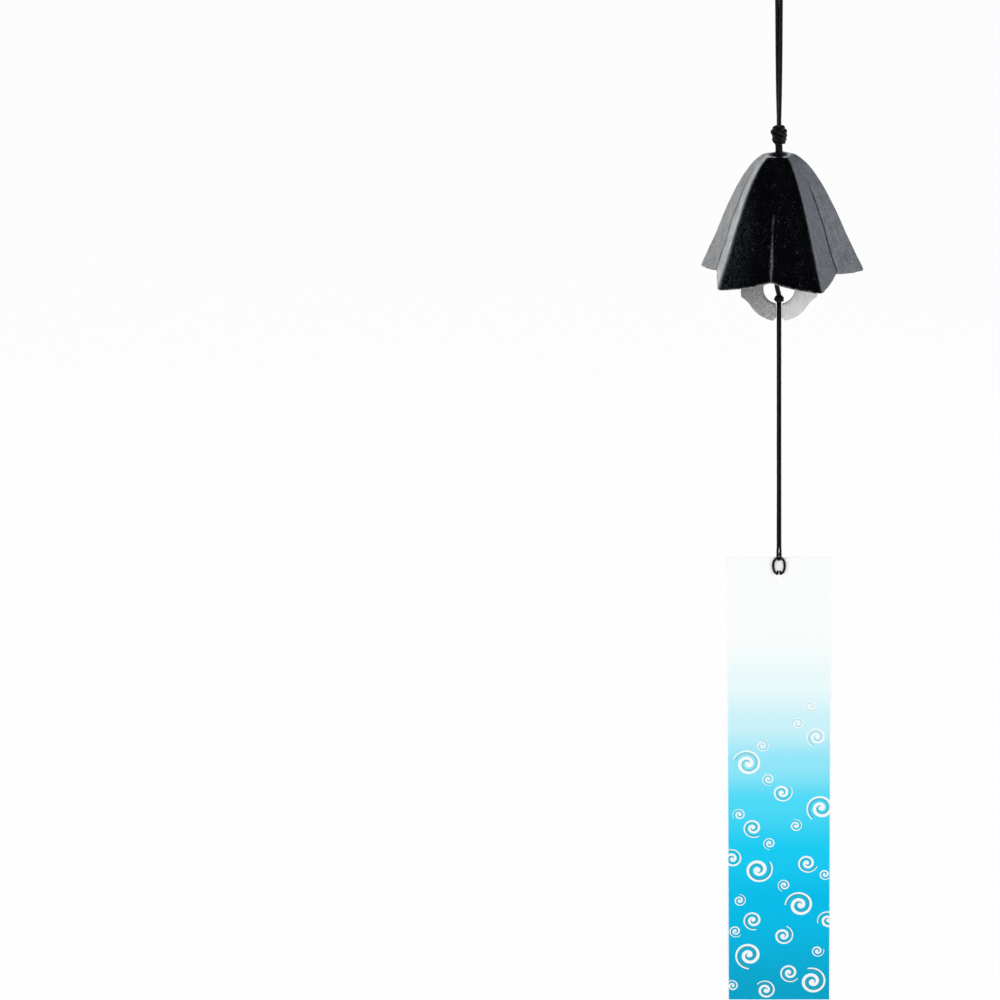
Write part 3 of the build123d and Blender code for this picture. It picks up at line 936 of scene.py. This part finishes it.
# %% Place the whirls
WHIRL_SIZES = {"large": 7.0 * MM, "middle": 5.0 * MM, "small": 3.2 * MM}
WHIRL_SHARES = (
    (0.80, 0.33, "small", 0.1), (0.68, 0.37, "small", 0.5), (0.86, 0.40, "middle", 0.3),
    (0.34, 0.42, "small", 0.8), (0.20, 0.46, "large", 0.55), (0.40, 0.495, "small", 0.2),
    (0.53, 0.525, "middle", 0.9), (0.90, 0.56, "large", 0.35), (0.66, 0.60, "small", 0.7),
    (0.12, 0.575, "small", 0.4), (0.25, 0.605, "middle", 0.15), (0.41, 0.64, "small", 0.25),
    (0.05, 0.675, "middle", 0.6), (0.30, 0.70, "large", 0.9), (0.77, 0.685, "middle", 0.05),
    (0.94, 0.71, "small", 0.85), (0.55, 0.735, "small", 0.3), (0.12, 0.77, "small", 0.75),
    (0.70, 0.78, "large", 0.5), (0.25, 0.815, "middle", 0.2), (0.97, 0.815, "middle", 0.45),
    (0.08, 0.84, "small", 0.1), (0.54, 0.85, "middle", 0.8), (0.87, 0.885, "small", 0.95),
    (0.21, 0.895, "large", 0.25), (0.60, 0.935, "middle", 0.1), (0.82, 0.955, "large", 0.7),
    (0.05, 0.965, "small", 0.4), (0.37, 0.975, "middle", 0.6),
)
tag_width = tag_high.x - tag_low.x
tag_height = tag_high.z - tag_low.z


def whirl_layers(tree, across, up):
    group = whirl_group()
    stroke = 0.0
    shade = 0.0
    for across_share, down_share, size, turn in WHIRL_SHARES:
        whirl = tree.nodes.new("ShaderNodeGroup")
        whirl.node_tree = group
        settings = {"Across": across, "Up": up, "Radius": WHIRL_SIZES[size] / MM, "Turn": turn,
                    "Centre Across": (tag_low.x + across_share * tag_width) / MM,
                    "Centre Up": (tag_high.z - down_share * tag_height) / MM}
        for name, value in settings.items():
            connect(tree, whirl.inputs[name], value)
        stroke = calc(tree, "MAXIMUM", stroke, whirl.outputs["Stroke"])
        shade = calc(tree, "MAXIMUM", shade, whirl.outputs["Shade"])
    return stroke, shade


# %% [markdown]
# The ground of the print is a colour ramp down the tag. Around it the paper stays bare for a
# margin of less than a millimetre. Paper fibre gives both a faint unevenness and a soft bump.

# %% Tag materials
GROUND = (
    (0.17, (250, 251, 251)), (0.28, (233, 250, 250)), (0.37, (202, 241, 249)),
    (0.46, (144, 230, 248)), (0.55, (75, 217, 246)), (0.66, (24, 203, 242)),
    (0.78, (6, 188, 232)), (1.0, (10, 163, 201)),
)
MARGIN = 0.8
MARGIN_FADE = 0.15


def paper_fibre(tree, shader):
    place = in_millimetres(tree)
    fibre = grain(tree, place, 1.6, 5, 0.65)
    tree.links.new(raise_bump(tree, fibre, 0.05 * MM, 0.25), shader.inputs["Normal"])
    shader.inputs["Roughness"].default_value = 0.85
    shader.inputs["Specular IOR Level"].default_value = 0.05
    return place, fibre


def printed_paper():
    material, tree, shader = new_material("tag_print")
    place, fibre = paper_fibre(tree, shader)
    split = tree.nodes.new("ShaderNodeSeparateXYZ")
    tree.links.new(place, split.inputs["Vector"])
    across = split.outputs["X"]
    up = split.outputs["Z"]
    down_share = remap(tree, up, tag_high.z / MM, tag_low.z / MM)
    ground = tree.nodes.new("ShaderNodeValToRGB")
    ground.color_ramp.interpolation = "EASE"
    stops = ground.color_ramp.elements
    stops[0].position, stops[0].color = GROUND[0][0], screen_colour(*GROUND[0][1])
    stops[1].position, stops[1].color = GROUND[-1][0], screen_colour(*GROUND[-1][1])
    for share, colour in GROUND[1:-1]:
        stops.new(share).color = screen_colour(*colour)
    uneven = calc(tree, "MULTIPLY", calc(tree, "SUBTRACT", fibre, 0.5), 0.03)
    tree.links.new(calc(tree, "ADD", down_share, uneven), ground.inputs["Fac"])
    stroke, shade = whirl_layers(tree, across, up)
    dark = calc(tree, "MULTIPLY", shade, remap(tree, down_share, 0.3, 0.7, 0.2, 0.9))
    colour = blend_colour(tree, dark, ground.outputs["Color"], screen_colour(60, 160, 176))
    white = calc(tree, "MULTIPLY", stroke, 0.94)
    colour = blend_colour(tree, white, colour, screen_colour(250, 252, 252))
    side = tag_width / 2 / MM - MARGIN
    foot = tag_low.z / MM + MARGIN
    beside = remap(tree, calc(tree, "ABSOLUTE", across), side, side + MARGIN_FADE)
    below = remap(tree, up, foot, foot - MARGIN_FADE)
    bare = calc(tree, "MAXIMUM", beside, below)
    colour = blend_colour(tree, bare, colour, screen_colour(250, 251, 251))
    tree.links.new(colour, shader.inputs["Base Color"])
    return material


def bare_paper():
    material, tree, shader = new_material("tag_paper")
    _, fibre = paper_fibre(tree, shader)
    colour = blend_colour(tree, fibre, screen_colour(243, 244, 243), screen_colour(252, 252, 251))
    tree.links.new(colour, shader.inputs["Base Color"])
    return material


# %% [markdown]
# The paper itself is the engineering sheet cut into rows, so that it can bow. It bends back by
# under a millimetre and turns a hair, as paper that has hung for a while does, and stays flat
# at the hole. Its front face has the print, and the back and the cut edges are bare.

# %% Tag
PAPER_ROWS = 56
BOW = 0.8 * MM
TWIST = math.radians(0.8)
FLAT_TOP = 0.06
tag = merged_copy("tag", "paper_tag")
pick_only(tag)
bpy.ops.object.mode_set(mode="EDIT")
for row in range(1, PAPER_ROWS):
    bpy.ops.mesh.select_all(action="SELECT")
    cut_z = tag_high.z - tag_height * row / PAPER_ROWS
    bpy.ops.mesh.bisect(plane_co=(0, 0, cut_z), plane_no=(0, 0, 1))
bpy.ops.object.mode_set(mode="OBJECT")
for vertex in tag.data.vertices:
    down = max(0.0, (tag_high.z - vertex.co.z) / tag_height - FLAT_TOP)
    vertex.co.y += BOW * math.sin(math.pi * down) + vertex.co.x * math.sin(TWIST * down)
bpy.ops.object.shade_smooth_by_angle(angle=math.radians(40))
finish_piece(tag, "tag", printed_paper(), ["tag"])
tag.data.materials.append(bare_paper())
tag.data.update()
for face in tag.data.polygons:
    face.material_index = 0 if face.normal.y < -0.5 else 1
    face.use_smooth = abs(face.normal.y) < 0.9

# %% [markdown]
# The room is plain: a pale floor far below, an even white surround, two soft lamps in front and
# one behind. As a photographer does for a black and satin thing, a dark card stands in front of
# the bell and over it, with a bright screen on either side and a dimmer one behind. Only shines
# see them, so the faces towards the camera stay black while the sides go grey, the left one
# lighter than the right.


# %% Surround and floor
def rays_that_see_white(tree):
    path = tree.nodes.new("ShaderNodeLightPath")
    seen = calc(tree, "MAXIMUM", path.outputs["Is Camera Ray"], path.outputs["Is Glossy Ray"])
    return calc(tree, "MAXIMUM", seen, path.outputs["Is Transmission Ray"])


def white_room():
    world = bpy.data.worlds.new("white_room")
    world.use_nodes = True
    tree = world.node_tree
    surround = tree.nodes["Background"]
    surround.inputs["Color"].default_value = (1, 1, 1, 1)
    strength = remap(tree, rays_that_see_white(tree), 0, 1, 0.5, 1.0)
    tree.links.new(strength, surround.inputs["Strength"])
    bpy.context.scene.world = world


def pale_floor():
    bpy.ops.object.select_all(action="DESELECT")
    bpy.ops.mesh.primitive_plane_add(size=8, location=(0, 0, -0.85))
    floor = bpy.context.object
    floor.name = "floor"
    material, tree, shader = new_material("floor")
    shader.inputs["Base Color"].default_value = (0.86, 0.86, 0.86, 1)
    shader.inputs["Roughness"].default_value = 0.9
    glow = tree.nodes.new("ShaderNodeEmission")
    mixer = tree.nodes.new("ShaderNodeMixShader")
    share = calc(tree, "MULTIPLY", rays_that_see_white(tree), 0.96)
    tree.links.new(share, mixer.inputs[0])
    tree.links.new(shader.outputs[0], mixer.inputs[1])
    tree.links.new(glow.outputs[0], mixer.inputs[2])
    tree.links.new(mixer.outputs[0], tree.nodes["Material Output"].inputs["Surface"])
    floor.data.materials.append(material)


white_room()
pale_floor()


# %% Lamps and cards
BALL_RADIUS = 1.9
BALL_PLACE = (0, 0, -0.12)
BALL_LOW_Z = -0.9
BALL_TOP_Z = 1.3
CARD_SIDE = 80
SCREEN_END = 124


def soft_lamp(name, place, size, power):
    lamp_data = bpy.data.lights.new(name, "AREA")
    lamp_data.shape = "SQUARE"
    lamp_data.size = size
    lamp_data.energy = power
    lamp = bpy.data.objects.new(name, lamp_data)
    bpy.context.scene.collection.objects.link(lamp)
    lamp.location = place
    lamp.rotation_euler = (aim - Vector(place)).to_track_quat("-Z", "Y").to_euler()
    lamp.visible_glossy = False


def card_in_shine(name, belongs, colour, strength):
    # The part of a large ball round the bell that belongs to the card, by its turn from the
    # front and its height; only shines see it
    bpy.ops.object.select_all(action="DESELECT")
    bpy.ops.mesh.primitive_uv_sphere_add(segments=72, ring_count=24, radius=BALL_RADIUS,
                                         location=BALL_PLACE)
    card = bpy.context.object
    card.name = name
    mesh = bmesh.new()
    mesh.from_mesh(card.data)
    gone = []
    for face in mesh.faces:
        middle = face.calc_center_median()
        turn = math.degrees(math.atan2(middle.x, -middle.y))
        if not belongs(turn, middle.z) or middle.z < BALL_LOW_Z:
            gone.append(face)
    bmesh.ops.delete(mesh, geom=gone, context="FACES")
    mesh.to_mesh(card.data)
    mesh.free()
    material, _, shader = new_material(name)
    for key, value in (("Base Color", (0, 0, 0, 1)), ("Roughness", 1), ("Specular IOR Level", 0),
                       ("Emission Color", colour), ("Emission Strength", strength)):
        shader.inputs[key].default_value = value
    card.data.materials.append(material)
    card.visible_camera = False
    card.visible_diffuse = False
    card.visible_transmission = False
    card.visible_shadow = False


card_in_shine("dark_card", lambda turn, z: abs(turn) < CARD_SIDE or z > BALL_TOP_Z,
              colour=(0, 0, 0, 1), strength=0)
card_in_shine("left_screen", lambda turn, z: turn < -CARD_SIDE and z < BALL_TOP_Z,
              colour=(0.95, 0.98, 1, 1), strength=2.1)
card_in_shine("right_screen", lambda turn, z: CARD_SIDE < turn < SCREEN_END and z < BALL_TOP_Z,
              colour=(0.87, 0.92, 1, 1), strength=3.3)
card_in_shine("back_screen", lambda turn, z: turn > SCREEN_END and z < BALL_TOP_Z,
              colour=(0.81, 0.86, 1, 1), strength=1.15)
soft_lamp("key", (1.1, -1.7, 0.7), size=1.1, power=17)
soft_lamp("fill", (-1.4, -1.5, 0.2), size=1.3, power=12.5)
soft_lamp("back", (0.5, 1.9, 0.6), size=1.2, power=9)
print("lamps:", len(bpy.data.lights))
